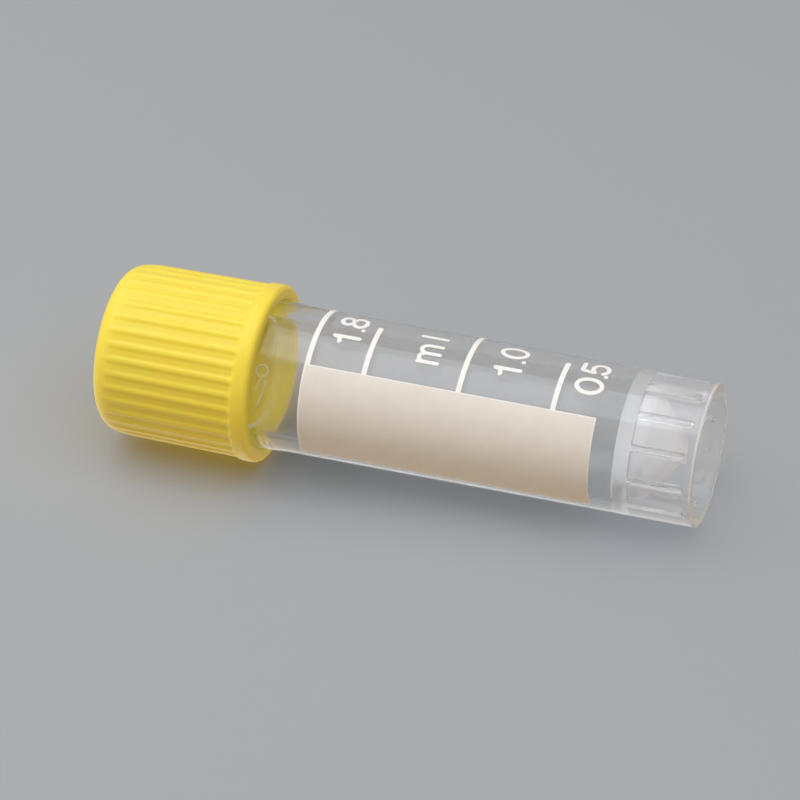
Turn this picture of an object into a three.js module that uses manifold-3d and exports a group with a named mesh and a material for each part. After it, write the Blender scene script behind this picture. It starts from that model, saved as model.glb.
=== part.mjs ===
// A self-standing cryogenic vial with an external thread, its screw cap and the silicone seal in the cap.
// Units are millimetres. +Z runs up the vial's axis, and the origin is at the centre of the foot.
import * as THREE from "three";
import { mergeVertices } from "three/addons/utils/BufferGeometryUtils.js";
import Module from "manifold-3d";

const wasm = await Module();
wasm.setup();

// ---- driving sizes -------------------------------------------------------------------------------

// Tube: one moulding with its foot, bore, collar and threaded neck.
const tubeHeight = 46.2;          // foot to lip
const boreRadius = 4.6;           // at the bottom of the straight bore
const boreDraft = 0.05;           // how much wider the bore is at the mouth
const barrelWall = 1.05;          // at the foot
const barrelDraft = 0.13;         // how much wider the barrel is at the collar
const neckHeight = 9.3;           // collar's top to lip
const neckWall = 0.65;
const collarHeight = 3.2;
const collarStep = 0.12;          // how far the collar stands out from the barrel
const collarChamfer = 0.3;
const lipChamfer = 0.2;

// Foot: a skirt round a conical bottom, with ribs between them that a rack's star pegs hold.
const skirtWall = 0.8;
const skirtDepth = 5.15;
const grooveWidth = 0.45;         // gap between skirt and cone at the top of the recess
const coneShoulder = 1;           // height of the steep part of the cone below the web
const coneShoulderStep = 0.4;     // how far that part leans in
const tipHeight = 1.75;
const tipRadius = 0.6;
const bottomWall = 0.93;
const webThickness = 0.93;
const boreFillet = 0.5;
const footChamfer = 0.1;
const footRibs = { count: 12, thickness: 0.47, rimGap: 0.85, angle: -6 };

// Thread: two starts, right-handed.
const threadStarts = 2;
const threadHeight = 0.4;
const threadRootWidth = 1.2;
const threadCrestWidth = 0.6;
const threadFadeTurns = 0.06;     // length of the run-out at each end
const threadBelowLip = 7.6;       // middle of the tube's ridges at their lower ends
const tubeThreadTurns = 1.5;
const capThreadTurns = 1;

// Cap and seal.
const capHeight = 13.1;
const capTop = 1.4;               // thickness over the seal
const capRecess = 0.3;            // hollow in the cap's underside, inside the seal
const capWall = 0.77;             // at the mouth, under the grip ribs
const capDraft = 0.12;            // how much narrower the cap is at its top
const capCorner = 1.5;
const rimHeight = 1.2;            // smooth band round the mouth
const rimStep = 0.28;             // how far the band stands out
const rimChamfer = 0.35;
const gripRibs = { count: 36, width: 0.75, crest: 0.3, height: 0.2, fade: 0.5 };
const sealThickness = 0.7;
const sealWidth = 1.6;

// Clearances.
const threadGap = 0.15;           // between a thread's crest and the wall that it faces
const flankGap = 0.1;             // along the axis, between the two threads' flanks where they are widest
const mouthGap = 0.15;            // between collar and cap
const collarHeadroom = 0.3;       // between the collar's top and the step in the cap's bore
const sealGap = 0.15;             // between seal and cap wall

const roundSegments = 48;
const turnSegments = 36;
const overlap = 0.15;             // how deep a joined piece runs into the wall that carries it

// ---- sizes that follow ---------------------------------------------------------------------------

const footRadius = boreRadius + barrelWall;
const barrelTopRadius = footRadius + barrelDraft;
const collarRadius = barrelTopRadius + collarStep;
const boreMouthRadius = boreRadius + boreDraft;
const neckRadius = boreMouthRadius + neckWall;
const tubeCrestRadius = neckRadius + threadHeight;
const shoulderZ = tubeHeight - neckHeight;
const threadPitch = threadRootWidth + threadCrestWidth + 2 * flankGap;
const threadLead = threadPitch * threadStarts;
const tubeThreadZ = tubeHeight - threadBelowLip;
const capThreadZ = tubeThreadZ + threadPitch / 2;

const capBoreRadius = tubeCrestRadius + threadGap;
const capCrestRadius = neckRadius + threadGap;
const capMouthRadius = Math.max(collarRadius, tubeCrestRadius) + mouthGap;
const capRadius = Math.max(capMouthRadius, capBoreRadius) + capWall;
const sealSeatZ = tubeHeight + sealThickness;
const capTopZ = sealSeatZ + capTop;
const capRimZ = capTopZ - capHeight;
const mouthTopZ = Math.max(shoulderZ, capRimZ) + collarHeadroom;
const sealRadius = capBoreRadius - sealGap;

// ---- solids --------------------------------------------------------------------------------------

/** Signed volume of an indexed mesh: below zero when its faces point inwards. */
function signedVolume(position, index) {
  const [a, b, c] = [new THREE.Vector3(), new THREE.Vector3(), new THREE.Vector3()];
  let six = 0;
  for (let i = 0; i < index.length; i += 3) {
    a.fromArray(position, 3 * index[i]);
    b.fromArray(position, 3 * index[i + 1]);
    c.fromArray(position, 3 * index[i + 2]);
    six += a.dot(b.cross(c));
  }
  return six / 6;
}

/** A closed BufferGeometry as a solid: doubles merged, flat triangles dropped, faces turned outwards. */
function solidOf(geometry) {
  const bare = geometry.clone();
  bare.deleteAttribute("normal");
  bare.deleteAttribute("uv");
  const merged = mergeVertices(bare);
  const position = Float32Array.from(merged.attributes.position.array);
  const kept = [];
  for (let i = 0; i < merged.index.count; i += 3) {
    const [a, b, c] = [0, 1, 2].map((k) => merged.index.getX(i + k));
    if (a !== b && b !== c && c !== a) kept.push(a, b, c);
  }
  if (signedVolume(position, kept) < 0) kept.reverse();
  const triVerts = Uint32Array.from(kept);
  return new wasm.Manifold(new wasm.Mesh({ numProp: 3, vertProperties: position, triVerts }));
}

/** A profile of [radius, z] points turned round +Z. It starts and ends on the axis, or closes on itself. */
function turned(profile) {
  const points = profile.map(([radius, z]) => new THREE.Vector2(radius, z));
  return solidOf(new THREE.LatheGeometry(points, roundSegments).rotateX(Math.PI / 2));
}

/** A solid through equal convex sections, each a list of [x, y, z] points, with a flat end at each end. */
function lofted(sections) {
  const n = sections[0].length;
  const index = [];
  for (let s = 0; s + 1 < sections.length; s++) {
    for (let i = 0; i < n; i++) {
      const [a, b] = [s * n + i, s * n + ((i + 1) % n)];
      index.push(a, b, a + n, b, b + n, a + n);
    }
  }
  const last = (sections.length - 1) * n;
  for (let i = 1; i + 1 < n; i++) index.push(0, i + 1, i, last, last + i, last + i + 1);
  const geometry = new THREE.BufferGeometry();
  geometry.setAttribute("position", new THREE.Float32BufferAttribute(sections.flat(2), 3));
  geometry.setIndex(index);
  return solidOf(geometry);
}

/** Cylindrical to Cartesian. */
const polar = (radius, angle, z) => [radius * Math.cos(angle), radius * Math.sin(angle), z];

/** A solid joined with each of the others. */
const joined = (base, others) => others.reduce((sum, other) => sum.add(other), base);

/**
 * One ridge of a right-handed thread. At turn t its middle is at angle 2 pi t + startAngle and at height
 * startZ + lead t. Its section is a trapezium from rootRadius to crestRadius, sunk into the root's wall,
 * and its crest sinks to the root at both ends.
 */
function threadRidge({ rootRadius, crestRadius, startZ, startAngle, turns }) {
  const outwards = Math.sign(crestRadius - rootRadius);
  const sunkRadius = rootRadius - outwards * overlap;
  const steps = Math.round(turns * turnSegments);
  const sections = [];
  for (let i = 0; i <= steps; i++) {
    const turn = (turns * i) / steps;
    const fade = Math.min(1, turn / threadFadeTurns, (turns - turn) / threadFadeTurns);
    const crest = THREE.MathUtils.lerp(sunkRadius + outwards * overlap * 0.5, crestRadius, fade);
    const angle = 2 * Math.PI * turn + startAngle;
    const z = startZ + threadLead * turn;
    sections.push([
      polar(sunkRadius, angle, z - threadRootWidth / 2),
      polar(crest, angle, z - threadCrestWidth / 2),
      polar(crest, angle, z + threadCrestWidth / 2),
      polar(sunkRadius, angle, z + threadRootWidth / 2),
    ]);
  }
  return lofted(sections);
}

/** Every start of a thread, evenly round the axis. */
function threadRidges(ridge) {
  return Array.from({ length: threadStarts }, (_, k) =>
    threadRidge({ ...ridge, startAngle: (2 * Math.PI * k) / threadStarts }));
}

// ---- tube ----------------------------------------------------------------------------------------

/** The tube's section: foot, conical bottom, bore, neck and collar. */
function tubeProfile() {
  const skirtInner = footRadius - skirtWall;
  const grooveInner = skirtInner - grooveWidth;
  const coneEdge = new THREE.Vector2(grooveInner - coneShoulderStep, skirtDepth - coneShoulder);
  const along = coneEdge.clone().sub(new THREE.Vector2(tipRadius, tipHeight)).normalize();
  const inwards = new THREE.Vector2(-along.y, along.x);
  const boreEdge = coneEdge.clone().addScaledVector(inwards, bottomWall);
  const boreTipRadius = tipRadius - footChamfer;
  const boreTipZ = boreEdge.y - ((boreEdge.x - boreTipRadius) * along.y) / along.x;
  const webZ = skirtDepth + webThickness;
  const collarZ = shoulderZ - collarHeight;
  return [
    [0, tipHeight],
    [tipRadius, tipHeight],
    [coneEdge.x, coneEdge.y],
    [grooveInner, skirtDepth],
    [skirtInner, skirtDepth],
    [skirtInner, footChamfer],
    [skirtInner + footChamfer, 0],
    [footRadius - footChamfer, 0],
    [footRadius, footChamfer],
    [barrelTopRadius, collarZ - collarChamfer],
    [collarRadius, collarZ],
    [collarRadius, shoulderZ - collarChamfer],
    [collarRadius - collarChamfer, shoulderZ],
    [neckRadius, shoulderZ],
    [neckRadius, tubeHeight - lipChamfer],
    [neckRadius - lipChamfer, tubeHeight],
    [boreMouthRadius + lipChamfer / 2, tubeHeight],
    [boreMouthRadius, tubeHeight - lipChamfer / 2],
    [boreRadius, webZ + boreFillet],
    [boreRadius - boreFillet / 2, webZ],
    [boreEdge.x, boreEdge.y],
    [boreTipRadius, boreTipZ],
    [0, boreTipZ],
  ];
}

/** One upright rib on the inside of the skirt, from the web down to a little above the rim. */
function footRib(angle) {
  const outer = footRadius - skirtWall + overlap;
  const inner = footRadius - skirtWall - grooveWidth;
  const half = footRibs.thickness / 2;
  const section = (z) => [[inner, -half, z], [outer, -half, z], [outer, half, z], [inner, half, z]];
  const upright = lofted([section(footRibs.rimGap), section(skirtDepth + overlap)]);
  return upright.rotate([0, 0, angle]);
}

function tubeSolid() {
  const thread = threadRidges({
    rootRadius: neckRadius,
    crestRadius: tubeCrestRadius,
    startZ: tubeThreadZ,
    turns: tubeThreadTurns,
  });
  const ribs = Array.from({ length: footRibs.count }, (_, k) =>
    footRib(footRibs.angle - 90 + (360 * k) / footRibs.count));
  return joined(turned(tubeProfile()), [...thread, ...ribs]);
}

// ---- cap -----------------------------------------------------------------------------------------

/** The cap's outer radius between its grip ribs at height z. */
const gripRadius = (z) => capRadius - (capDraft * (z - capRimZ)) / capHeight;

/** A quarter circle of [radius, z] points, from the cap's side round to its flat top. */
function cornerArc(steps) {
  const centre = [gripRadius(capTopZ) - capCorner, capTopZ - capCorner];
  return Array.from({ length: steps + 1 }, (_, i) => {
    const angle = (Math.PI / 2) * (i / steps);
    return [centre[0] + capCorner * Math.cos(angle), centre[1] + capCorner * Math.sin(angle)];
  });
}

/** The cap's section: outer side and top, then the recess, the seal's seat, the bore and the mouth. */
function capProfile() {
  const rimRadius = capRadius + rimStep;
  const bandZ = capRimZ + rimHeight;
  const sealInner = sealRadius - sealWidth;
  return [
    [0, capTopZ],
    ...cornerArc(5).reverse(),
    [gripRadius(bandZ + rimStep), bandZ + rimStep],
    [rimRadius, bandZ],
    [rimRadius, capRimZ + rimChamfer],
    [rimRadius - rimChamfer, capRimZ],
    [capMouthRadius, capRimZ],
    [capMouthRadius, mouthTopZ],
    [capBoreRadius, mouthTopZ + (capMouthRadius - capBoreRadius)],
    [capBoreRadius, sealSeatZ],
    [sealInner, sealSeatZ],
    [sealInner - capRecess, sealSeatZ + capRecess],
    [0, sealSeatZ + capRecess],
  ];
}

/** One grip rib, standing out of the cap's side, with its crest fading at both ends. */
function gripRib(angle) {
  const lowZ = capRimZ + rimHeight;
  const highZ = capTopZ - capCorner;
  const section = (z, rise) => {
    const [sunk, crest] = [gripRadius(z) - overlap, gripRadius(z) + rise];
    return [
      [sunk, -gripRibs.width / 2, z],
      [crest, -gripRibs.crest / 2, z],
      [crest, gripRibs.crest / 2, z],
      [sunk, gripRibs.width / 2, z],
    ];
  };
  const rib = lofted([
    section(lowZ, gripRibs.height),
    section(highZ - gripRibs.fade, gripRibs.height),
    section(highZ + gripRibs.fade, -overlap / 2),
  ]);
  return rib.rotate([0, 0, angle]);
}

function capSolid() {
  const thread = threadRidges({
    rootRadius: capBoreRadius,
    crestRadius: capCrestRadius,
    startZ: capThreadZ,
    turns: capThreadTurns,
  });
  const ribs = Array.from({ length: gripRibs.count }, (_, k) => gripRib((360 * k) / gripRibs.count));
  return joined(turned(capProfile()), [...thread, ...ribs]);
}

// ---- seal ----------------------------------------------------------------------------------------

/** The flat silicone ring between the tube's lip and the cap. */
function sealSolid() {
  const inner = sealRadius - sealWidth;
  return turned([
    [inner, tubeHeight],
    [sealRadius, tubeHeight],
    [sealRadius, sealSeatZ],
    [inner, sealSeatZ],
    [inner, tubeHeight],
  ]);
}

// ---- scene graph ---------------------------------------------------------------------------------

/** A named mesh of a solid in its own material. */
function mesh(name, solid, look) {
  const { vertProperties, triVerts } = solid.getMesh();
  const geometry = new THREE.BufferGeometry();
  geometry.setAttribute("position", new THREE.BufferAttribute(vertProperties, 3));
  geometry.setIndex(new THREE.BufferAttribute(triVerts, 1));
  geometry.computeVertexNormals();
  const result = new THREE.Mesh(geometry, new THREE.MeshStandardMaterial({ metalness: 0, ...look }));
  result.name = name;
  return result;
}

const group = new THREE.Group();
group.add(mesh("tube", tubeSolid(), { color: 0xd6dad8, roughness: 0.25, transparent: true, opacity: 0.5 }));
group.add(mesh("seal_ring", sealSolid(), { color: 0xe9e6df, roughness: 0.6 }));
group.add(mesh("screw_cap", capSolid(), { color: 0xf2d83c, roughness: 0.4 }));

export default group;
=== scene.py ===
# %% [markdown]
# # A self-standing cryogenic vial
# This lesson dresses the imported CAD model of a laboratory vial: a clear tube, its yellow screw cap and the
# silicone ring inside the cap. The CAD model holds the sizes and the motion. Each visible piece is made
# here again as a fine mesh in the same frame, because a faceted solid shows its facets through clear plastic.
# +Z runs up the vial's axis from its foot, and -Y is the side with the printed scale.

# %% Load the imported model
import math

import bpy
import numpy as np
from mathutils import Matrix, Vector


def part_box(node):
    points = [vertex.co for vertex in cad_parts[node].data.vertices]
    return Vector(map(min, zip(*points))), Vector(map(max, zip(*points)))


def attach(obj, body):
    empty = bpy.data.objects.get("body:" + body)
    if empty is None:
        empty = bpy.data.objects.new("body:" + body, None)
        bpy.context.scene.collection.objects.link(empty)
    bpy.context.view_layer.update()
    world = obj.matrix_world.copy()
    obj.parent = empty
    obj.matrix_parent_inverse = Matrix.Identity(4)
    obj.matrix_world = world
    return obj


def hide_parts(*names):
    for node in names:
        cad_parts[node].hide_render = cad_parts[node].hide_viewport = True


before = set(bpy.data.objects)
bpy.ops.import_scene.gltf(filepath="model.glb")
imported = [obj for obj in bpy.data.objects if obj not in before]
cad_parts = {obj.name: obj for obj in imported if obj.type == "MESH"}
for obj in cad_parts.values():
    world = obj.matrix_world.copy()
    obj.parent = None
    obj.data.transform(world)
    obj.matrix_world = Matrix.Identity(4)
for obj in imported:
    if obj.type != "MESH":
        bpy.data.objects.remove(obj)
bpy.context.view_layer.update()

# %% [markdown]
# Lengths are worked out in millimetres, as a workshop drawing gives them, and become metres when a mesh is
# made. What the CAD model can say is read from it: heights and greatest radii come from the nodes' boxes.
# The rest, such as a bore or a fillet, can't be read from a box and is named here.

# %% Sizes that the frame gives
MM = 0.001


def node_size(node):
    """The lowest height, the highest height and the greatest radius of a CAD node, in mm."""
    low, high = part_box(node)
    return low.z / MM, high.z / MM, high.x / MM


TUBE_FOOT, TUBE_LIP, COLLAR_R = node_size("tube")
SEAL_LOW, SEAL_HIGH, SEAL_R = node_size("seal_ring")
CAP_RIM, CAP_TOP, CAP_R = node_size("screw_cap")
print(f"heights: tube {TUBE_FOOT:.2f} to {TUBE_LIP:.2f} mm, cap {CAP_RIM:.2f} to {CAP_TOP:.2f} mm")
print(f"radii: collar {COLLAR_R:.2f} mm, seal {SEAL_R:.2f} mm, cap {CAP_R:.2f} mm")

# %% [markdown]
# ## The camera
# The vial stands upright in the model and is shown lying on its side, with its open foot towards the
# viewer. Turning the camera does the same as laying the vial down, and leaves the model where it is. The
# camera looks up at the foot from a little below, and is rolled until the vial's axis runs across the frame.
# A long lens from a fair distance keeps the perspective slight, as in a catalogue.

# %% Camera
CAMERA_AIM = Vector((-0.17, 0.0, 24.8)) * MM
CAMERA_DISTANCE = 319.3 * MM
CAMERA_ELEVATION = math.radians(-14.45)
CAMERA_ROLL = math.radians(79.4)
LENS_MM = 184.2
SENSOR_MM = 36
CLIP_NEAR = 0.01
CLIP_FAR = 10

camera = bpy.data.objects.new("camera", bpy.data.cameras.new("camera"))
bpy.context.scene.collection.objects.link(camera)
bpy.context.scene.camera = camera
camera.data.sensor_width = SENSOR_MM
camera.data.lens = LENS_MM

back = Vector((0, -math.cos(CAMERA_ELEVATION), math.sin(CAMERA_ELEVATION)))
level_right = Vector((1, 0, 0))
level_up = back.cross(level_right)
right = math.cos(CAMERA_ROLL) * level_right - math.sin(CAMERA_ROLL) * level_up
up = math.sin(CAMERA_ROLL) * level_right + math.cos(CAMERA_ROLL) * level_up
camera.matrix_world = Matrix.Translation(CAMERA_AIM + back * CAMERA_DISTANCE) @ (
    Matrix((right, up, back)).transposed().to_4x4())
camera.data.clip_start = CLIP_NEAR
camera.data.clip_end = CLIP_FAR
print("camera at", [round(x / MM, 1) for x in camera.matrix_world.translation], "mm")

# %% [markdown]
# ## Tools for materials
# Colours are written as the hex values that a paint program shows, and Blender wants them linear, so one
# function turns them. A second function adds any node with its settings and links, which keeps a material
# readable as a list of steps.

# %% Colour and node helpers


def linear(hex_colour):
    """An sRGB hex colour as linear RGBA: c / 12.92 in the darks, else ((c + 0.055) / 1.055) ** 2.4."""
    c = np.array([int(hex_colour[i:i + 2], 16) for i in (0, 2, 4)]) / 255
    c = np.where(c <= 0.04045, c / 12.92, ((c + 0.055) / 1.055) ** 2.4)
    return (*c.tolist(), 1.0)


def add(tree, kind, inputs=(), **settings):
    """Adds a node to a tree. inputs pairs a socket's name or number with a value or another node's output."""
    node = tree.nodes.new(kind)
    for key, value in settings.items():
        setattr(node, key, value)
    for key, value in dict(inputs).items():
        if isinstance(value, bpy.types.NodeSocket):
            tree.links.new(value, node.inputs[key])
        else:
            node.inputs[key].default_value = value
    return node


def new_material(name):
    """An empty material and its node tree."""
    material = bpy.data.materials.new(name)
    material.use_nodes = True
    material.node_tree.nodes.clear()
    return material, material.node_tree


# %% [markdown]
# ## The studio
# The room is plain: a pale background and an even, slightly warm fill from all round. The background is what
# the camera sees, and what gloss and clear plastic show, while matt surfaces see the dimmer fill. That way
# the background can be pale without more light on the vial. A panorama of a room could do both at once, but
# then its windows and its shades would show in the plastic.

# %% World
BACKGROUND = "AAACAE"
FILL = "FFE2BC"
FILL_STRENGTH = 0.41

world = bpy.data.worlds.new("studio")
bpy.context.scene.world = world
world.use_nodes = True
tree = world.node_tree
tree.nodes.clear()
seen = add(tree, "ShaderNodeLightPath")
seen_or_glossy = add(tree, "ShaderNodeMath", {
    0: seen.outputs["Is Camera Ray"], 1: seen.outputs["Is Glossy Ray"]}, operation="MAXIMUM")
shows = add(tree, "ShaderNodeMath", {0: seen_or_glossy.outputs[0], 1: seen.outputs["Is Transmission Ray"]},
            operation="MAXIMUM")
fill = add(tree, "ShaderNodeBackground", {"Color": linear(FILL), "Strength": FILL_STRENGTH})
backdrop = add(tree, "ShaderNodeBackground", {"Color": linear(BACKGROUND), "Strength": 1.0})
mixed = add(tree, "ShaderNodeMixShader", {0: shows.outputs[0], 1: fill.outputs[0], 2: backdrop.outputs[0]})
add(tree, "ShaderNodeOutputWorld", {"Surface": mixed.outputs[0]})
print("world: background", BACKGROUND, "and fill", FILL, "at", FILL_STRENGTH)

# %% [markdown]
# Five large soft boxes face the vial. Two would do for a matt object, but clear plastic shows each lamp, and
# one that is strong enough for the cap leaves white patches on the tube. In a studio, polarising film goes
# on such a lamp and on the lens, which takes its glare away and leaves its light. So the key light and the
# low light are pairs: a weaker lamp that keeps its glare, for the long pale bands along the barrel, and a
# polarised one for the shading. The lamps with glare hang high, where a level look through the tube misses
# them. The fifth, overhead, lights the floor and the cap's top.

# %% Lamps
SOFT_BOX_DISTANCE = 350 * MM
SOFT_BOX_SIZE = 330 * MM
VIAL_MIDDLE = Vector((0, 0, (TUBE_FOOT + CAP_TOP) / 2)) * MM


def soft_box(name, side, rise, watts, colour, glare):
    """A square lamp that faces the vial's middle, side degrees from -Y towards +X and rise degrees up.
    Without glare it still lights the surfaces, and gloss and clear plastic don't show it."""
    lamp = bpy.data.lights.new(name, "AREA")
    lamp.size = SOFT_BOX_SIZE
    lamp.energy = watts
    lamp.color = linear(colour)[:3]
    turn = math.radians(side)
    away = Vector((math.sin(turn), -math.cos(turn), math.tan(math.radians(rise)))).normalized()
    facing = away.to_track_quat("Z", "Y").to_matrix().to_4x4()
    holder = bpy.data.objects.new(name, lamp)
    bpy.context.scene.collection.objects.link(holder)
    holder.matrix_world = Matrix.Translation(VIAL_MIDDLE + away * SOFT_BOX_DISTANCE) @ facing
    holder.visible_glossy = glare
    holder.visible_transmission = glare
    print(name, "at", [round(x / MM) for x in holder.matrix_world.translation], "mm,", watts, "W")


soft_box("key_soft_box", side=52, rise=31, watts=0.58, colour="F5F8FF", glare=True)
soft_box("key_soft_box_polarised", side=34, rise=-12, watts=0.79, colour="EAF2FF", glare=False)
soft_box("low_soft_box", side=-140, rise=31, watts=0.22, colour="FFF8F0", glare=True)
soft_box("low_soft_box_polarised", side=-155, rise=-12, watts=0.5, colour="FFF0D8", glare=False)
soft_box("top_soft_box_polarised", side=0, rise=84, watts=0.5, colour="EAF2FF", glare=False)

# %% [markdown]
# The upright vial stands on a floor, and the camera's view, where it lies on its side, needs a table: a plane
# that touches the cap's rim and the foot. Each plane is seen from its front only, because a camera behind it
# has to see the vial, and it fades into the background further away, so there is no horizon. A shadow
# catcher could take the vial's shadow too, but it would turn the clear plastic grey. The planes give no
# light back, since the even fill stands for that, and each has the grey that the lamps bring to the
# background's tone on a plane that faces its way.

# %% Floor and table
STAGE_SIZE = 500 * MM
FADE_FROM = 60 * MM
FADE_TO = 200 * MM
TABLE_TURN = math.radians(41)
TABLE_PAPER = "A1A6AA"
FLOOR_PAPER = "B0B8C1"
FOOT_R = 5.65


def stage_paper(name, colour):
    """Matt paper that is clear from behind and fades out with its distance d from the vial's foot.
    The fade runs smoothly from 0 at FADE_FROM to 1 at FADE_TO."""
    paper, tree = new_material(name)
    place = add(tree, "ShaderNodeTexCoord")
    distance = add(tree, "ShaderNodeVectorMath", {0: place.outputs["Object"]}, operation="LENGTH")
    fade = add(tree, "ShaderNodeMapRange", {"Value": distance.outputs["Value"], "From Min": FADE_FROM,
                                            "From Max": FADE_TO}, interpolation_type="SMOOTHSTEP")
    side = add(tree, "ShaderNodeNewGeometry")
    hidden = add(tree, "ShaderNodeMath", {0: fade.outputs["Result"], 1: side.outputs["Backfacing"]},
                 operation="MAXIMUM")
    matt = add(tree, "ShaderNodeBsdfDiffuse", {"Color": linear(colour)})
    clear = add(tree, "ShaderNodeBsdfTransparent")
    mixed = add(tree, "ShaderNodeMixShader", {0: hidden.outputs[0], 1: matt.outputs[0], 2: clear.outputs[0]})
    add(tree, "ShaderNodeOutputMaterial", {"Surface": mixed.outputs[0]})
    return paper


def stage_plane(name, origin, normal, colour):
    """A square plane through origin that faces along normal: origin + s a + t b, with a and b across it."""
    across = normal.orthogonal().normalized()
    along = normal.cross(across)
    half = STAGE_SIZE / 2
    corners = [origin + half * (s * across + t * along) for s, t in ((-1, -1), (1, -1), (1, 1), (-1, 1))]
    mesh = bpy.data.meshes.new(name)
    mesh.from_pydata([tuple(c) for c in corners], [], [(0, 1, 2, 3)])
    mesh.materials.append(stage_paper(name + "_paper", colour))
    plane = bpy.data.objects.new(name, mesh)
    bpy.context.scene.collection.objects.link(plane)
    plane.visible_diffuse = False
    plane.visible_shadow = False
    plane.visible_glossy = False
    print(name, "faces", [round(x, 2) for x in normal], "in", colour)
    return plane


away = Vector((math.cos(TABLE_TURN), -math.sin(TABLE_TURN), 0))
foot_edge = Vector((0, 0, TUBE_FOOT)) * MM - away * FOOT_R * MM
rim_edge = Vector((0, 0, CAP_RIM)) * MM - away * CAP_R * MM
along_table = (rim_edge - foot_edge).normalized()
table_normal = (away - away.dot(along_table) * along_table).normalized()
stage_plane("table", foot_edge, table_normal, TABLE_PAPER)
floor = stage_plane("floor", Vector((0, 0, 0)), Vector((0, 0, 1)), FLOOR_PAPER)
floor.visible_transmission = False

# %% [markdown]
# ## Turned surfaces
# Tube, cap and seal are round, so each starts as an outline that is turned about the axis. Blender could do
# this with a Screw modifier, but a grid worked out with numpy can do more: its radius may change from column
# to column, so ribs and threads are part of one closed skin, with no joins and no boolean. An outline is a
# list of corners with their fillets, as on a drawing, because no edge of a moulding is quite sharp.

# %% Outline with fillets
ARC_STEP = math.radians(15)


def outline(corners, fine=1.0):
    """Points [r, z] along an outline with rounded corners, in mm.

    A corner is (r, z, fillet radius f, longest step on the way to the next corner). Where the outline turns
    by t, the fillet starts f tan(t / 2) before the corner, and its points are centre + f (a sin u - n cos u)
    for u from 0 to t, with a along the outline and n across it, towards the centre.
    """
    spots = np.array([corner[:2] for corner in corners], float)
    pieces = [spots[:1]]
    for i in range(1, len(corners)):
        ahead = spots[i] - spots[i - 1]
        ahead /= np.linalg.norm(ahead)
        arc = spots[i:i + 1]
        fillet = corners[i][2]
        if fillet > 0 and i + 1 < len(corners):
            after = spots[i + 1] - spots[i]
            after /= np.linalg.norm(after)
            turn = math.atan2(ahead[0] * after[1] - ahead[1] * after[0], ahead @ after)
            across = math.copysign(1, turn) * np.array([-ahead[1], ahead[0]])
            start = spots[i] - ahead * fillet * math.tan(abs(turn) / 2)
            u = np.linspace(0, abs(turn), max(3, math.ceil(abs(turn) / ARC_STEP * fine)) + 1)[:, None]
            arc = start + fillet * (across + ahead * np.sin(u) - across * np.cos(u))
        straight = arc[0] - pieces[-1][-1]
        steps = max(1, math.ceil(np.linalg.norm(straight) / corners[i - 1][3]))
        share = np.linspace(0, 1, steps + 1)[1:-1, None]
        pieces += [pieces[-1][-1] + share * straight, arc]
    return np.concatenate(pieces)


# %% Angles and smooth steps


def columns(count):
    """Angles about the axis, evenly spaced, from 0 to just under a whole turn, measured from +X."""
    return np.arange(count) * (2 * math.pi / count)


def smooth_step(x):
    """0 below 0, 1 above 1, and 3 x^2 - 2 x^3 in between."""
    x = np.clip(x, 0, 1)
    return x * x * (3 - 2 * x)


# %% [markdown]
# A mesh is made from whole arrays of points and faces. Its volume says whether the faces point outwards, and
# is a check on the shape as well. Edges that turn by more than 50 degrees stay sharp, and all others shade
# smoothly.

# %% Mesh from arrays
SHARP_FROM = math.radians(50)


def mesh_piece(name, points, faces):
    """A smooth-shaded mesh object from points in mm and a list of faces, turned to face outwards.
    The volume is the sum of a . (b x c) / 6 over the triangles of each face's fan."""
    triangles = [np.stack([f[:, 0], f[:, k], f[:, k + 1]], 1)
                 for f in faces for k in range(1, f.shape[1] - 1)]
    a, b, c = points[np.concatenate(triangles)].transpose(1, 0, 2)
    volume = np.einsum("ij,ij->i", a, np.cross(b, c)).sum() / 6
    facing = -1 if volume < 0 else 1
    mesh = bpy.data.meshes.new(name)
    mesh.from_pydata((points * MM).tolist(), [], [row for f in faces for row in f[:, ::facing].tolist()])
    mesh.polygons.foreach_set("use_smooth", np.ones(len(mesh.polygons), bool))
    mesh.set_sharp_from_angle(angle=SHARP_FROM)
    mesh.update()
    piece = bpy.data.objects.new(name, mesh)
    bpy.context.scene.collection.objects.link(piece)
    print(f"{name}: {len(np.concatenate(triangles))} triangles, {abs(volume):.1f} mm3")
    return piece


# %% Turned skin


def turned_piece(name, radius, height, angle, ring=False):
    """A closed skin of points (r cos a, r sin a, z) on a grid of outline rows and angle columns.
    The outline ends on the axis at both ends, where a row shrinks to one point, or closes in a ring."""
    points = np.stack([radius * np.cos(angle), radius * np.sin(angle), height + 0 * angle], 2)
    rows, count = radius.shape
    if ring:
        index = np.arange(rows * count).reshape(rows, count)
        lower, upper = index, np.roll(index, -1, 0)
        points = points.reshape(-1, 3)
        caps = []
    else:
        index = 1 + np.arange((rows - 2) * count).reshape(rows - 2, count)
        lower, upper = index[:-1], index[1:]
        points = np.concatenate([points[0, :1], points[1:-1].reshape(-1, 3), points[-1, :1]])
        first, last = np.zeros(count, int), np.full(count, len(points) - 1)
        caps = [np.stack([first, np.roll(index[0], -1), index[0]], 1),
                np.stack([last, index[-1], np.roll(index[-1], -1)], 1)]
    quads = np.stack([lower, np.roll(lower, -1, 1), np.roll(upper, -1, 1), upper], 2).reshape(-1, 4)
    return mesh_piece(name, points, [quads, *caps])


# %% [markdown]
# ## Threads and ribs as height fields
# A thread is a ridge whose height above the wall depends on how far a point lies from the ridge's middle
# line, measured along the axis. That middle line climbs by the lead in each turn. A rib is the same with the
# distance measured round the axis. Both functions answer with 0 on the wall and 1 on the crest.

# %% Thread and rib fields
THREAD = {"starts": 2, "pitch": 2.0, "height": 0.4, "root": 1.2, "crest": 0.6, "fade": 0.06}


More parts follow.
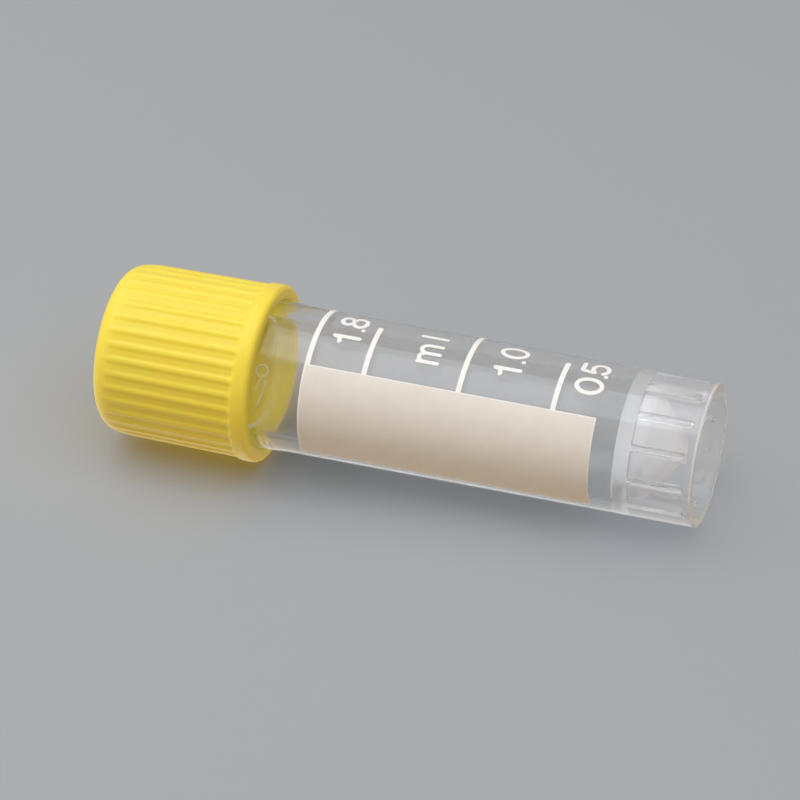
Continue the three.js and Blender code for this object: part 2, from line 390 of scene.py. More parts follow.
def thread_field(angle, height, start, turns):
    """Share of full thread height at each point, for a right-handed thread that starts at height start.

    The middle of a ridge is at start + lead t after t turns, so the nearest ridge is round(x) pitches up,
    with x = (z - start - lead a / 2 pi) / pitch. The section is a trapezium, and both ends run out over
    fade turns.
    """
    pitch = THREAD["pitch"]
    lead = pitch * THREAD["starts"]
    climb = start + lead * angle / (2 * math.pi)
    middle = climb + pitch * np.round((height - climb) / pitch)
    flank = (THREAD["root"] - THREAD["crest"]) / 2
    section = smooth_step((THREAD["root"] / 2 - np.abs(height - middle)) / flank)
    turn = (middle - start) / lead
    return section * smooth_step(np.minimum(turn, turns - turn) / THREAD["fade"])


def rib_field(angle, count, first, width, crest):
    """Share of full rib height round the axis, for count ribs of angular width and crest, in radians."""
    period = 2 * math.pi / count
    off = np.abs((angle - first + period / 2) % period - period / 2)
    return smooth_step((width / 2 - off) / ((width - crest) / 2))


# %% [markdown]
# ## The tube
# The tube is one injection moulding in natural polypropylene. Its section runs from the tip of the conical
# bottom out to the skirt, round the foot's rim, up the barrel to the collar and the threaded neck, over the
# lip, and down the bore to the inside of the cone. Sharp steps would be simpler, but clear plastic bends
# light at each of them, so an edge needs its real shape: small fillets, a collar that swells smoothly from
# the barrel, and a shoulder that slopes to the neck.

# %% Tube outline
BARREL_R = 5.78
COLLAR_LOW = 33.0
COLLAR_HIGH = 34.8
COLLAR_FLARE = 12.0
SHOULDER = 36.9
NECK_R = 5.3
BORE_R = 4.6
MOUTH_R = 4.65
SKIRT_R = 4.85
GROOVE_R = 4.4
WEB_LOW = 5.15
WEB_HIGH = 6.08
BORE_FILLET_HIGH = WEB_HIGH + 0.3
TIP = 1.75
PIP = TIP - 0.12
CONE_FLOOR = 2.82
NECK_STEP = 0.11
LONG = 5.0

tube_corners = [
    (0, PIP, 0, 0.2),                                  # the pip that the gate leaves under the tip
    (0.3, PIP, 0.06, 0.2),
    (0.36, TIP, 0.06, 0.2),
    (0.75, TIP, 0.3, 0.6),                             # the flat tip, and the cone up from it
    (4.0, 4.15, 0.5, 0.4),
    (GROOVE_R, WEB_LOW, 0.1, 0.12),                    # the groove round the cone, and its flat top
    (SKIRT_R, WEB_LOW, 0.12, 0.16),                    # the inside of the skirt
    (SKIRT_R, 0, 0.14, 0.3),                           # the rim that the vial stands on
    (FOOT_R + 0.02, 0, 0.16, 0.12),                    # the foot flares by a hair
    (FOOT_R, 0.6, 1.0, LONG),                          # the barrel, with the draft of its mould
    (BARREL_R, COLLAR_LOW, COLLAR_FLARE, 0.2),
    (COLLAR_R, COLLAR_HIGH, COLLAR_FLARE, 0.4),        # the collar
    (COLLAR_R, SHOULDER - 0.6, 0.4, 0.2),
    (NECK_R, SHOULDER, 0.4, NECK_STEP),                # the neck, in steps that suit the thread
    (NECK_R, TUBE_LIP, 0.2, 0.2),                      # the lip
    (MOUTH_R, TUBE_LIP, 0.1, LONG),                    # the bore, which narrows a little downwards
    (BORE_R, BORE_FILLET_HIGH, 0.4, 0.2),
    (4.3, WEB_HIGH - 0.05, 0.3, 0.4),                  # the inside of the cone, a soft funnel
    (3.46, 4.91, 0.6, 0.5),
    (0.5, CONE_FLOOR, 0.3, 0.2),
    (0, CONE_FLOOR, 0, 0.2),
]
tube_outline = outline(tube_corners)
print("tube outline:", len(tube_outline), "points")

# %% [markdown]
# Inside the skirt stand twelve shallow ribs, which keep the vial from turning in a rack. Ribs joined on as
# boxes would leave walls inside the clear plastic, so they are made by pulling the skirt's inner wall in,
# almost to the groove's inner radius, from the web down to just above the rim. The neck's thread is added
# to the outline in the same way.

# %% Tube mesh
TUBE_COLUMNS = 324
FOOT_RIBS = 12
FOOT_RIB_TURN = math.radians(-6 - 90)
FOOT_RIB_WIDTH = 0.47
FOOT_RIB_LOW = 0.85
FOOT_RIB_FLANK = 0.14
FOOT_RIB_DEPTH = 0.97
ON_WALL = 0.01
FILLET_ROOM = 0.2
THREAD_BELOW_LIP = 7.6
THREAD_START = TUBE_LIP - THREAD_BELOW_LIP
TUBE_TURNS = 1.5

angle = columns(TUBE_COLUMNS)[None, :]
radius, height = tube_outline[:, :1], tube_outline[:, 1:]
rib = rib_field(angle, FOOT_RIBS, FOOT_RIB_TURN, (FOOT_RIB_WIDTH + FOOT_RIB_FLANK) / SKIRT_R,
                (FOOT_RIB_WIDTH - FOOT_RIB_FLANK) / SKIRT_R)
in_skirt = (radius > GROOVE_R) & (radius < SKIRT_R + ON_WALL) & (height < WEB_LOW + FILLET_ROOM)
rise = smooth_step((height - FOOT_RIB_LOW + FOOT_RIB_FLANK / 2) / FOOT_RIB_FLANK)
ribbed = radius - FOOT_RIB_DEPTH * in_skirt * rib * rise * (radius - GROOVE_R)
on_neck = (np.abs(radius - NECK_R) < ON_WALL) & (height > SHOULDER + FILLET_ROOM)
threaded = ribbed + on_neck * THREAD["height"] * thread_field(angle, height, THREAD_START, TUBE_TURNS)

tube = turned_piece("vial_tube", threaded, height, angle)

# %% [markdown]
# Polypropylene turns cloudy where it is thick, because it cools slowly there and its crystals grow, and it
# looks frosted where the mould's steel is left rough. So the tube has three finishes: clear on the barrel,
# frosted inside the skirt, and cloudy on the web, the cone and the foot's rim. Each is a material slot, and
# every face gets its slot from where its middle lies. Painting a mask would do too, but needs an image.

# %% Cloudy faces of the tube
RIM_CLOUD = 0.15
SKIRT_ROOM = 0.05


def face_centres(piece):
    """The middle of each face of a piece, as rows of x, y, z in mm."""
    centres = np.zeros(3 * len(piece.data.polygons))
    piece.data.polygons.foreach_get("center", centres)
    return centres.reshape(-1, 3) / MM


centres = face_centres(tube)
centre_r = np.hypot(centres[:, 0], centres[:, 1])
frosted = (centre_r > GROOVE_R) & (centre_r < SKIRT_R + SKIRT_ROOM) & (centres[:, 2] < WEB_LOW)
thick = (centre_r < SKIRT_R) & (centres[:, 2] < BORE_FILLET_HIGH) | (centres[:, 2] < RIM_CLOUD)
tube_slots = np.select([frosted, thick], [1, 2], 0).astype(np.int32)
print("faces in the tube's clear, frosted and thick finishes:", np.bincount(tube_slots))

# %% [markdown]
# ## The cap
# The cap is moulded in yellow polypropylene. Thirty-six narrow ribs give the fingers a hold and end in a
# smooth band round the mouth. Inside is the matching thread, and above it the seat for the silicone ring.
# An array of ribs round a plain cap would show a seam at each foot, so the ribs swell out of the skin, and
# fade where the top corner starts. The faces inside get their own slot: a brighter, yellower copy of the
# plastic, a painted glow that stands in for light coming through the wall.

# %% Cap outline and mesh
CAP_MOUTH_R = 5.98
CAP_BORE_R = 5.85
CAP_SIDE_R = 6.82
CAP_TOP_R = 6.70
CAP_CORNER = 1.5
BAND_HIGH = 36.4
MOUTH_HIGH = 37.2
RECESS = 0.3
RECESS_R = 4.1
RECESS_TOP_R = 3.8
GRIP_RIBS = 36
GRIP_WIDTH = 0.8
GRIP_CREST = 0.14
GRIP_HEIGHT = 0.13
GRIP_FADE = 1.0
COLUMNS_PER_RIB = 14
CAP_COLUMNS = GRIP_RIBS * COLUMNS_PER_RIB
CAP_TURNS = 1
WALL_ROOM = 0.1

cap_outline = outline([
    (0, CAP_TOP, 0, 2.0),                              # the flat top
    (CAP_TOP_R, CAP_TOP, CAP_CORNER, 1.0),             # its round corner, and the side that carries the ribs
    (CAP_SIDE_R, BAND_HIGH + 0.3, 0.3, 0.2),
    (CAP_R, BAND_HIGH, 0.3, 0.3),                      # the smooth band
    (CAP_R, CAP_RIM, 0.4, 0.3),
    (CAP_MOUTH_R, CAP_RIM, 0.15, 0.5),                 # the mouth, which fits round the collar
    (CAP_MOUTH_R, MOUTH_HIGH, 0.1, 0.2),
    (CAP_BORE_R, MOUTH_HIGH + CAP_MOUTH_R - CAP_BORE_R, 0.1, 0.14),
    (CAP_BORE_R, SEAL_HIGH, 0.1, 0.5),                 # the bore up to the seat of the ring
    (RECESS_R, SEAL_HIGH, 0.1, 0.2),                   # a shallow recess in the middle of the seat
    (RECESS_TOP_R, SEAL_HIGH + RECESS, 0.1, 1.0),
    (0, SEAL_HIGH + RECESS, 0, 1.0),
], fine=1.5)

angle = columns(CAP_COLUMNS)[None, :]
radius, height = cap_outline[:, :1], cap_outline[:, 1:]
ribs = rib_field(angle, GRIP_RIBS, 0, GRIP_WIDTH / CAP_SIDE_R, GRIP_CREST / CAP_SIDE_R)
# Half of the fade lies below the corner's start and half above it, hence the 0.5.
rib_end = smooth_step((CAP_TOP - CAP_CORNER - height) / GRIP_FADE + 0.5)
outside = (radius > CAP_MOUTH_R + WALL_ROOM) & (height > BAND_HIGH)
ribbed = radius + outside * GRIP_HEIGHT * ribs * rib_end * np.clip((CAP_R - radius) / GRIP_HEIGHT, 0, 1)
in_bore = (np.abs(radius - CAP_BORE_R) < ON_WALL) & (height < SEAL_HIGH)
threaded = ribbed - in_bore * THREAD["height"] * thread_field(
    angle, height, THREAD_START + THREAD["pitch"] / 2, CAP_TURNS)
cap = turned_piece("cap_moulding", threaded, height, angle)

# %% Inside faces of the cap
# The faces inside the cap, which take the painted glow.
cap_centres = face_centres(cap)
cap_glow_faces = np.hypot(*cap_centres[:, :2].T) < CAP_MOUTH_R + WALL_ROOM
cap_glow_faces &= cap_centres[:, 2] < SEAL_HIGH + RECESS + WALL_ROOM / 2
cap_slots = cap_glow_faces.astype(np.int32)
print("faces on the cap's outside and inside:", np.bincount(cap_slots))

# %% [markdown]
# ## The seal
# A flat silicone ring lies in the top of the cap, and the tube's lip presses on it. A torus would be too
# round, because the ring is flat, so a rounded rectangle is turned about the axis. Its edges are rounded by
# the mould that it was pressed in.

# %% Seal mesh
SEAL_INNER_R = 4.1
SEAL_EDGE = 0.15
SEAL_COLUMNS = 160

seal_middle = (SEAL_INNER_R + SEAL_R) / 2
seal_outline = outline([
    (seal_middle, SEAL_LOW, 0, 0.4),
    (SEAL_R, SEAL_LOW, SEAL_EDGE, 0.4),
    (SEAL_R, SEAL_HIGH, SEAL_EDGE, 0.4),
    (SEAL_INNER_R, SEAL_HIGH, SEAL_EDGE, 0.4),
    (SEAL_INNER_R, SEAL_LOW, SEAL_EDGE, 0.4),
    (seal_middle, SEAL_LOW, 0, 0.4),
])[:-1]
angle = columns(SEAL_COLUMNS)[None, :]
seal = turned_piece("seal_moulding", seal_outline[:, :1] + 0 * angle, seal_outline[:, 1:], angle, ring=True)

# %% [markdown]
# ## The print
# The scale and the writing panel are white ink, screen-printed on the barrel. Each mark is a thin closed
# shell that follows the barrel: its outer face stands a few hundredths of a millimetre proud, and its inner
# face lies just inside the plastic, so no sliver of air shows between them. A decal image could do the same
# in fewer steps, but real geometry keeps its edges sharp from any distance.

# %% The barrel's outer wall
COLLAR_EDGE = SHOULDER - 0.9
outer_wall = tube_outline[(tube_outline[:, 0] > FOOT_R - ON_WALL) & (tube_outline[:, 1] < COLLAR_EDGE)]


def barrel_radius(height):
    """The radius of the tube's outer wall at a height, between the points of the tube's own outline."""
    return np.interp(height, outer_wall[:, 1], outer_wall[:, 0])


print("outer wall:", len(outer_wall), "points up to", round(outer_wall[:, 1].max(), 1), "mm")

# %% Ink shells
INK_PROUD = 0.025
INK_SUNK = 0.01


def on_barrel(turn, height, proud):
    """Points in mm at turn from -Y towards +X, in radians, at a height, and proud of the barrel's surface."""
    radius = barrel_radius(height) + proud
    return np.stack([radius * np.sin(turn), -radius * np.cos(turn), height], -1)


def ink_shell(turn, height, loop=False, proud=INK_PROUD):
    """Points and quads of a closed shell over a grid of (turn, height) spots, rows along the mark.
    The grid is laid out twice, proud and sunk, and its border joins the two. A loop's rows form a ring."""
    rows, count = turn.shape
    sheets = [on_barrel(turn, height, level).reshape(-1, 3) for level in (proud, -INK_SUNK)]
    index = np.arange(rows * count).reshape(rows, count)
    if loop:
        index = np.concatenate([index, index[:1]])
    face = np.stack([index[:-1, :-1], index[1:, :-1], index[1:, 1:], index[:-1, 1:]], 2).reshape(-1, 4)
    edges = [index[:, 0][::-1], index[:, -1]]
    if not loop:
        edges += [index[0], index[-1][::-1]]
    size = rows * count
    border = [np.stack([e[:-1], e[1:], e[1:] + size, e[:-1] + size], 1) for e in edges]
    return np.concatenate(sheets), np.concatenate([face, face[:, ::-1] + size, *border])


def ink_piece(name, shells):
    """One mesh object of several ink shells."""
    offsets = np.cumsum([0] + [len(points) for points, _ in shells])
    points = np.concatenate([points for points, _ in shells])
    return mesh_piece(name, points, [np.concatenate([quads + o for (_, quads), o in zip(shells, offsets)])])


# %% [markdown]
# The panel is a cream ink that takes a pen. Under it lies a whiter layer, a little larger, which shows as a
# hair-thin white border: a painted highlight for the light that the panel's raised edge catches. One piece
# with a painted edge would do from far away, but two layers give the border a real step, and each its own
# ink. The panel stands proud of the lower layer and of the scale's lines, so no two faces lie in the same
# place.

# %% Writing panel
PANEL_LOW = 8.12
PANEL_HIGH = 31.2
PANEL_FROM = math.radians(-69)
PANEL_TO = math.radians(11.6)
PANEL_PROUD = 0.032
HIGHLIGHT_PROUD = 0.021
HIGHLIGHT_MARGIN = 0.09
PANEL_COLUMNS = 120
PANEL_ROWS = 8


def panel_shell(margin, proud):
    """The panel's shell, larger by margin in mm on each side."""
    wider = margin / BARREL_R
    grid = np.meshgrid(np.linspace(PANEL_FROM - wider, PANEL_TO + wider, PANEL_COLUMNS),
                       np.linspace(PANEL_LOW - margin, PANEL_HIGH + margin, PANEL_ROWS), indexing="ij")
    return ink_shell(*grid, proud=proud)


panel = ink_piece("writing_panel", [panel_shell(0, PANEL_PROUD)])
# The whiter layer under the panel is a painted highlight along the panel's edge.
panel_highlight = ink_piece("panel_edge_highlight", [panel_shell(HIGHLIGHT_MARGIN, HIGHLIGHT_PROUD)])

# %% [markdown]
# The scale's long lines stand at 1.0 and 1.8 ml and the short ones at 0.5 and 1.5 ml. The top one also runs
# over the panel's upper edge. A curve with a bevel could draw a line, but would lie on the barrel as a wire.
# So a line is a ribbon: a path with a width, and ends that are rounded by half a circle.

# %% Scale lines
LINE_WIDTH = 0.4
LINE_POINTS = 90
ROUND_END = np.array([0.98, 0.9, 0.75, 0.5, 0.25])
SHORT_TO = math.radians(59)
LONG_TO = math.radians(87)
SCALE = [
    (11.48, PANEL_TO, SHORT_TO),
    (18.98, PANEL_TO, LONG_TO),
    (26.56, PANEL_TO, SHORT_TO),
    (31.14, PANEL_FROM, LONG_TO),
]


def ribbon(path, width, loop=False):
    """A shell along a path of (across, height) points in mm, where across is measured round the barrel.

    Each row has five points from -w/2 to w/2 along the path's normal. An open path is carried on by w/2 at
    both ends, in the shares x of ROUND_END, and there the half width is sqrt((w/2)^2 - (x w/2)^2).
    """
    if loop:
        along = np.roll(path, -1, 0) - np.roll(path, 1, 0)
        half = np.full(len(path), width / 2)
    else:
        reach = width / 2 * ROUND_END
        first, last = path[0] - path[1], path[-1] - path[-2]
        head = path[0] + reach[:, None] * first / np.linalg.norm(first)
        tail = path[-1] + reach[::-1, None] * last / np.linalg.norm(last)
        path = np.concatenate([head, path, tail])
        over = np.concatenate([reach, np.zeros(len(path) - 2 * len(reach)), reach[::-1]])
        half = np.sqrt((width / 2) ** 2 - over ** 2)
        along = np.gradient(path, axis=0)
    along /= np.linalg.norm(along, axis=1)[:, None]
    across = np.stack([-along[:, 1], along[:, 0]], 1)
    spread = np.linspace(-1, 1, 5)
    grid = path[:, None] + across[:, None] * half[:, None, None] * spread[None, :, None]
    return ink_shell(grid[..., 0] / barrel_radius(grid[..., 1]), grid[..., 1], loop)


def straight(start, end, count=24):
    """count points from start to end."""
    return np.array(start) + np.linspace(0, 1, count)[:, None] * (np.array(end) - np.array(start))


lines = []
for level, start, end in SCALE:
    around = barrel_radius(level)
    lines.append(ribbon(straight((start * around, level), (end * around, level), LINE_POINTS), LINE_WIDTH))
scale_lines = ink_piece("scale_lines", lines)

# %% [markdown]
# The figures are drawn with a pen of even width, as a stencil font is: straight strokes and arcs of ellipses.
# A text object could give them, but its letters are a font's, with thick and thin strokes, and would have to
# be bent round the barrel. They stand upright when the cap is up. Each figure is a list of paths with its
# lower left corner at zero, so a number is made by setting figures side by side. W and H are the width and
# the height between the pen's middles, and ARCH is the width of one arch of the m.

# %% Shapes of the figures
FIGURE_HEIGHT = 2.3
FIGURE_WIDTH = 1.7
PEN = 0.34


def arc(centre, size, start, end, count=28):
    """Points centre + (w/2 cos u, h/2 sin u) for u from start to end, in degrees."""
    u = np.radians(np.linspace(start, end, count))
    return np.array(centre) + 0.5 * np.array(size) * np.stack([np.cos(u), np.sin(u)], 1)


H = FIGURE_HEIGHT - PEN
W = FIGURE_WIDTH - PEN
ARCH = 0.86
FIGURES = {
    "0": [("loop", arc((W / 2, H / 2), (W, H), 0, 360, 49)[:-1])],
    "1": [("line", straight((0.55, 0), (0.55, H))),
          ("line", np.concatenate([straight((0, H * 0.75), (0.16, H * 0.75), 6),
                                   arc((0.16, H), (0.72, H * 0.5), -90, -8, 14)]))],
    "5": [("line", np.concatenate([straight((W * 0.92, H), (W * 0.18, H), 10),
                                   straight((W * 0.16, H), (W * 0.04, H * 0.5), 12),
                                   arc((W * 0.48, H * 0.31), (W * 0.96, H * 0.62), 142, -150, 30)]))],
    "8": [("loop", arc((W / 2, H * 0.77), (W * 0.8, H * 0.46), 0, 360, 41)[:-1]),
          ("loop", arc((W / 2, H * 0.27), (W, H * 0.54), 0, 360, 41)[:-1])],
    ".": [("line", straight((0, 0), (0.02, 0), 2))],
    "m": [("line", straight((0, 0), (0, H * 0.8))),
          ("line", np.concatenate([arc((ARCH * 0.5, H * 0.5), (ARCH, H * 0.6), 150, 0, 16),
                                   straight((ARCH, H * 0.48), (ARCH, 0), 12)])),
          ("line", np.concatenate([arc((ARCH * 1.5, H * 0.5), (ARCH, H * 0.6), 150, 0, 16),
                                   straight((ARCH * 2, H * 0.48), (ARCH * 2, 0), 12)]))],
    "l": [("line", straight((0, 0), (0, H)))],
}
print("figures:", " ".join(FIGURES))

# %% [markdown]
# A label is a base height in mm, its figures with the angle in degrees at which each starts, and the width
# of its pen. The unit is printed with a slightly thinner pen than the numbers.

# %% Labels
THIN_PEN = 0.31
LABELS = [
    (8.1, [("0", 31.6), (".", 50.6), ("5", 53.0)], PEN),
    (14.6, [("1", 34.5), (".", 49.8), ("0", 54.0)], PEN),
    (27.6, [("1", 36.5), (".", 52.0), ("8", 55.6)], PEN),
    (21.05, [("m", 32.2), ("l", 60.9)], THIN_PEN),
]

strokes = []
for base, figures, pen in LABELS:
    for figure, turn in figures:
        left = math.radians(turn) * barrel_radius(base)
        for kind, path in FIGURES[figure]:
            strokes.append(ribbon(path + np.array([left, base + pen / 2]), pen, loop=kind == "loop"))
scale_figures = ink_piece("scale_figures", strokes)

# %% [markdown]
# A mould leaves marks. Under the cap's rim the collar carries a small ring, where a pin of the mould met it,
# and a few lines as fine as a hair, where its parts met. A bump texture would hardly show them on clear
# plastic, so they are ribbons like the figures, in the tube's own plastic.

# %% Moulding marks
MARK_PEN = 0.11
RING_SIZE = 0.9
RING_HEIGHT = 34.52
RING_TURN = math.radians(1)
HAIRLINES = [
    [(-3.5, 34.5), (-9, 34.62), (-14, 34.85)],
    [(-5, 34.1), (-16, 34.22), (-34, 34.95)],
    [(-56, 34.75), (-76, 34.9)],
    [(-60, 34.3), (-78, 34.4)],
    [(-66, 33.9), (-80, 34.0)],
]


def bend(corners, count=12):
    """Points along a broken line of (turn in degrees, height in mm) corners, as (across, height) in mm."""
    turn, level = np.array(corners, float).T
    share = np.linspace(0, len(turn) - 1, count * (len(turn) - 1) + 1)
    turn, level = (np.interp(share, np.arange(len(turn)), values) for values in (turn, level))
    return np.stack([np.radians(turn) * barrel_radius(level), level], 1)


ring = arc((RING_TURN * COLLAR_R, RING_HEIGHT), (RING_SIZE, RING_SIZE), 0, 360, 41)[:-1]
hairlines = [ribbon(bend(corners), MARK_PEN) for corners in HAIRLINES]
marks = ink_piece("moulding_marks", [ribbon(ring, MARK_PEN, loop=True), *hairlines])

# %% [markdown]
# ## Clear plastic
# The tube is natural polypropylene, which means without pigment, injection moulded. To the eye it is clear
# with a faint haze, because its small crystals scatter some light. Glass with a volume of mist inside would
# be nearer to that, but it renders slowly and breaks where two finishes meet in one mesh. So the haze is in
# the surface: through is the share of light that passes, and the rest comes back white and soft. Its
# index of refraction is 1.49. The polish of a mould wears in patches, so the roughness wanders between two
# values over a few millimetres, and the same cloud lifts the surface by microns, as shrinkage does. For
# shadow rays the plastic is a pale filter, so what lies inside and behind it is lit.

# %% Natural polypropylene
PP_COLOUR = "F9F8F7"
PP_SHADOW = "FCFCFC"
PP_IOR = 1.49
WAVE_HEIGHT = 0.005 * MM
WAVE_STRENGTH = 0.5


def polypropylene(name, roughness, through, cloud_size):
    """Natural polypropylene whose roughness wanders between two values over cloud_size."""
    plastic, tree = new_material(name)
    place = add(tree, "ShaderNodeTexCoord")
    cloud = add(tree, "ShaderNodeTexNoise", {"Vector": place.outputs["Object"], "Scale": 1 / cloud_size,
                                             "Detail": 3.0})
    haze = add(tree, "ShaderNodeMapRange", {"Value": cloud.outputs[0], "To Min": roughness[0],
                                            "To Max": roughness[1]})
    wave = add(tree, "ShaderNodeBump", {"Height": cloud.outputs[0], "Distance": WAVE_HEIGHT,
                                        "Strength": WAVE_STRENGTH})
    skin = add(tree, "ShaderNodeBsdfPrincipled", {
        "Base Color": linear(PP_COLOUR), "Roughness": haze.outputs[0], "IOR": PP_IOR,
        "Transmission Weight": through, "Normal": wave.outputs[0]})
    clear = add(tree, "ShaderNodeBsdfTransparent", {"Color": linear(PP_SHADOW)})
    path = add(tree, "ShaderNodeLightPath")
    surface = add(tree, "ShaderNodeMixShader", {0: path.outputs["Is Shadow Ray"], 1: skin.outputs[0],
                                                2: clear.outputs[0]})
    add(tree, "ShaderNodeOutputMaterial", {"Surface": surface.outputs[0]})
    print(f"{name}: roughness {roughness}, {through:.1%} passes, patches of {cloud_size / MM:.1f} mm")
    return plastic


# %% [markdown]
# The barrel is moulded on polished steel: nearly clear, with patches of haze about 4 mm wide. The skirt's
# inside is left as the cutter leaves it, which gives a finer, frosted look. Where the web meets the walls
# the plastic is thickest and cools last, so the web and the cone are milky. The rim is too, because a look
# at it runs edge on down the skirt's wall. The fine marks on the collar are scratches and flash in the
# mould, which scatter light and so look paler than the wall.

# %% The tube's four finishes
clear_pp = polypropylene("natural_polypropylene", (0.04, 0.1), 0.975, 4 * MM)
frosted_pp = polypropylene("natural_polypropylene_frosted", (0.1, 0.18), 0.86, 1.5 * MM)
thick_pp = polypropylene("natural_polypropylene_thick", (0.1, 0.18), 0.6, 1.5 * MM)
mark_pp = polypropylene("natural_polypropylene_mark", (0.2, 0.3), 0.88, 1.5 * MM)

# %% [markdown]
# A look through the tube crosses at least four faces, and one through the foot a dozen, with reflections
# inside the walls between them. A ray that runs out of bounces turns black, so the counts go up.

# %% Light bounces
CLEAR_BOUNCES = 40
DIFFUSE_BOUNCES = 12

cycles = bpy.context.scene.cycles
cycles.max_bounces = CLEAR_BOUNCES
cycles.transmission_bounces = CLEAR_BOUNCES
cycles.transparent_max_bounces = CLEAR_BOUNCES
cycles.glossy_bounces = CLEAR_BOUNCES
cycles.diffuse_bounces = DIFFUSE_BOUNCES
print("bounces:", CLEAR_BOUNCES, "through and off clear plastic,", DIFFUSE_BOUNCES, "off matt surfaces")

# %% [markdown]
# ## Yellow plastic
# The cap is polypropylene with yellow pigment, moulded on spark-eroded steel. To the eye it is satin, its
# shadows are soft and warm, and its thin wall glows where light stands behind it. Plain paint would leave the
# shadows hard and grey, so light enters the surface and leaves it elsewhere. Red light goes deepest, and
# blue is stopped first by the pigment. The grain of spark-eroded steel is about 0.05 mm, too fine to show,
# so it is drawn at 0.4 mm. Pigment is never mixed quite evenly, which gives patches about 2.5 mm wide in two
# close yellows.

# %% Yellow polypropylene
YELLOW_GRAIN = 0.4 * MM
YELLOW_GRAIN_HEIGHT = 0.01 * MM
YELLOW_CLOUD = 2.5 * MM
YELLOW_GRAIN_STRENGTH = 0.4
SATIN = (0.32, 0.46)


def yellow_polypropylene(name, colours, depth, share, reach):
    """Yellow polypropylene: satin, where a share of the light enters and spreads by depth, times reach in
    red, green and blue."""
    plastic, tree = new_material(name)
    place = add(tree, "ShaderNodeTexCoord")
    grain = add(tree, "ShaderNodeTexNoise", {"Vector": place.outputs["Object"], "Scale": 1 / YELLOW_GRAIN,
                                             "Detail": 4.0})
    rough = add(tree, "ShaderNodeMapRange", {"Value": grain.outputs[0], "To Min": SATIN[0],
                                             "To Max": SATIN[1]})
    bump = add(tree, "ShaderNodeBump", {"Height": grain.outputs[0], "Distance": YELLOW_GRAIN_HEIGHT,
                                        "Strength": YELLOW_GRAIN_STRENGTH})
    cloud = add(tree, "ShaderNodeTexNoise", {"Vector": place.outputs["Object"], "Scale": 1 / YELLOW_CLOUD,
                                             "Detail": 2.0})
    tone = add(tree, "ShaderNodeMix", {0: cloud.outputs[0], 6: linear(colours[0]), 7: linear(colours[1])},
               data_type="RGBA")
    skin = add(tree, "ShaderNodeBsdfPrincipled", {
        "Base Color": tone.outputs[2], "Roughness": rough.outputs[0], "IOR": PP_IOR,
        "Subsurface Weight": share, "Subsurface Radius": reach, "Subsurface Scale": depth,
        "Normal": bump.outputs[0]})
    add(tree, "ShaderNodeOutputMaterial", {"Surface": skin.outputs[0]})
    print(f"{name}: {share:.0%} of the light enters, to {depth / MM:.0f} mm in red")
    return plastic


# Outside, half of the light comes back off the pigment at once. The inside is a lit copy of the same
# plastic, brighter and with less blue, where all of the light enters and spreads further: a painted glow
# for light that has come through the wall.
yellow_pp = yellow_polypropylene(
    "yellow_polypropylene", ("FDDA48", "FDE054"), depth=3 * MM, share=0.5, reach=(1.0, 0.5, 0.1))
yellow_pp_painted_glow = yellow_polypropylene(
    "yellow_polypropylene_painted_glow", ("FFEA34", "FFF03C"), depth=6 * MM, share=1.0, reach=(1.0, 0.7, 0.04))

# %% [markdown]
# ## Silicone
# The seal is white silicone rubber, pressed in a heated mould. To the eye it is satin and off-white, with
# little shine, because its index of refraction is only 1.41. The mould's release powder leaves duller
# patches about half a millimetre wide, so the roughness follows a noise of that size.

# %% White silicone
SILICONE_COLOUR = "E6E3DC"
SILICONE_IOR = 1.41
SILICONE_GRAIN = 0.5 * MM
SILICONE_SATIN = (0.45, 0.65)

silicone, tree = new_material("white_silicone")
place = add(tree, "ShaderNodeTexCoord")
grain = add(tree, "ShaderNodeTexNoise", {"Vector": place.outputs["Object"], "Scale": 1 / SILICONE_GRAIN,
                                         "Detail": 3.0})
rough = add(tree, "ShaderNodeMapRange", {"Value": grain.outputs[0], "To Min": SILICONE_SATIN[0],
                                         "To Max": SILICONE_SATIN[1]})
rubber = add(tree, "ShaderNodeBsdfPrincipled", {
    "Base Color": linear(SILICONE_COLOUR), "Roughness": rough.outputs[0], "IOR": SILICONE_IOR})
add(tree, "ShaderNodeOutputMaterial", {"Surface": rubber.outputs[0]})
print("white_silicone:", SILICONE_COLOUR, "with patches of", SILICONE_GRAIN / MM, "mm")

# %% [markdown]
# ## Ink
# Both inks are screen-printed: pressed through a fabric and cured. A screen of 100 threads to the inch
# leaves cells of 0.25 mm, which stay in the film as a grain of a few microns, and the thickness of the film
# varies over a millimetre or so, which shifts its tone a little. The panel's ink is cream, and full of chalky
# filler that takes a pen, so it is quite matt. The ink of the scale is whiter and denser, with a little
# shine, and the same white paints the highlight along the panel's edge.

# %% Screen-printed inks
SCREEN_CELL = 0.25 * MM
INK_GRAIN_HEIGHT = 0.004 * MM
INK_GRAIN_STRENGTH = 0.5
INK_CLOUD = 1.2 * MM
INK_IOR = 1.48


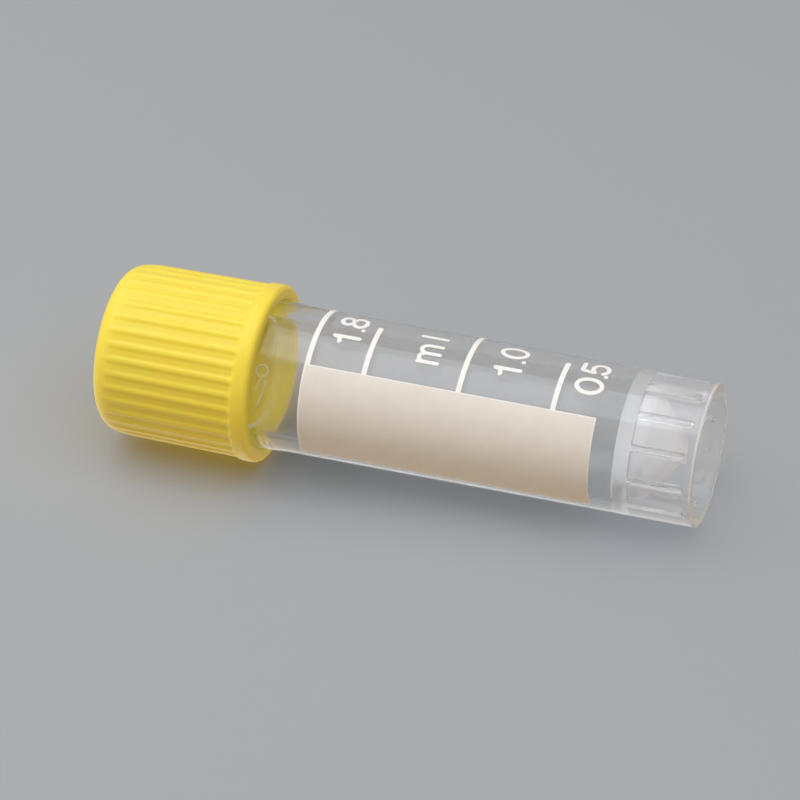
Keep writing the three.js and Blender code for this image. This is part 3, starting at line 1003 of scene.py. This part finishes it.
def screen_ink(name, colours, roughness):
    """Screen-printed ink between two close tones, with the grain that its screen leaves."""
    ink, tree = new_material(name)
    place = add(tree, "ShaderNodeTexCoord")
    grain = add(tree, "ShaderNodeTexNoise", {"Vector": place.outputs["Object"], "Scale": 1 / SCREEN_CELL,
                                             "Detail": 4.0})
    tone = add(tree, "ShaderNodeMapRange", {"Value": grain.outputs[0], "To Min": roughness[0],
                                            "To Max": roughness[1]})
    film = add(tree, "ShaderNodeBump", {"Height": grain.outputs[0], "Distance": INK_GRAIN_HEIGHT,
                                        "Strength": INK_GRAIN_STRENGTH})
    cloud = add(tree, "ShaderNodeTexNoise", {"Vector": place.outputs["Object"], "Scale": 1 / INK_CLOUD,
                                             "Detail": 3.0})
    shade = add(tree, "ShaderNodeMix", {0: cloud.outputs[0], 6: linear(colours[0]), 7: linear(colours[1])},
                data_type="RGBA")
    pigment = add(tree, "ShaderNodeBsdfPrincipled", {"Base Color": shade.outputs[2], "IOR": INK_IOR,
                                                     "Roughness": tone.outputs[0], "Normal": film.outputs[0]})
    add(tree, "ShaderNodeOutputMaterial", {"Surface": pigment.outputs[0]})
    print(f"{name}: between {colours[0]} and {colours[1]}, roughness {roughness}")
    return ink


panel_ink = screen_ink("writing_panel_ink", ("DEDAD2", "E8E4DE"), (0.5, 0.7))
# One white serves the scale's print and the painted highlight along the panel's edge.
white_and_highlight_ink = screen_ink("white_ink_and_edge_highlight", ("EFEFED", "F4F4F2"), (0.35, 0.5))

# %% [markdown]
# ## Which piece is which
# The CAD model moves as three bodies: the vial, the seal and the cap. Each piece made here rides on one of
# them, and the table lists the slot that its finish belongs to, which is only printed. The three mouldings
# stand for the three CAD nodes, which are hidden and stay in the model unseen, for contact. The print and
# the moulding marks stand for nothing, because the CAD model has no ink. Parenting objects by hand would do
# the same, but a table is easier to check.

# %% Bodies, slots and materials
for piece, material, body, slot, node in [
    (tube, clear_pp, "vial", "tube", "tube"),
    (cap, yellow_pp, "cap", "cap", "screw_cap"),
    (seal, silicone, "seal", "seal", "seal_ring"),
    (panel, panel_ink, "vial", "print", None),
    (scale_lines, white_and_highlight_ink, "vial", "print", None),
    (scale_figures, white_and_highlight_ink, "vial", "print", None),
    # The panel's whiter border layer is a painted edge highlight.
    (panel_highlight, white_and_highlight_ink, "vial", "print", None),
    (marks, mark_pp, "vial", "tube", None),
]:
    piece.data.materials.append(material)
    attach(piece, body)
    if node:
        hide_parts(node)
    print(piece.name, "rides on", body, "in slot", slot, "and stands for", node)

# %% Finishes of the tube's and the cap's faces
tube.data.materials.append(frosted_pp)
tube.data.materials.append(thick_pp)
tube.data.polygons.foreach_set("material_index", tube_slots)
# The cap's inside faces take the brighter copy, a painted glow of light through the wall.
cap.data.materials.append(yellow_pp_painted_glow)
cap.data.polygons.foreach_set("material_index", cap_slots)
print("tube:", [m.name for m in tube.data.materials], "cap:", [m.name for m in cap.data.materials])

# %% [markdown]
# ## The view transform
# The Standard view shows each colour as it is written, where a film-like view would dull the yellow.

# %% View transform
bpy.context.scene.view_settings.view_transform = "Standard"
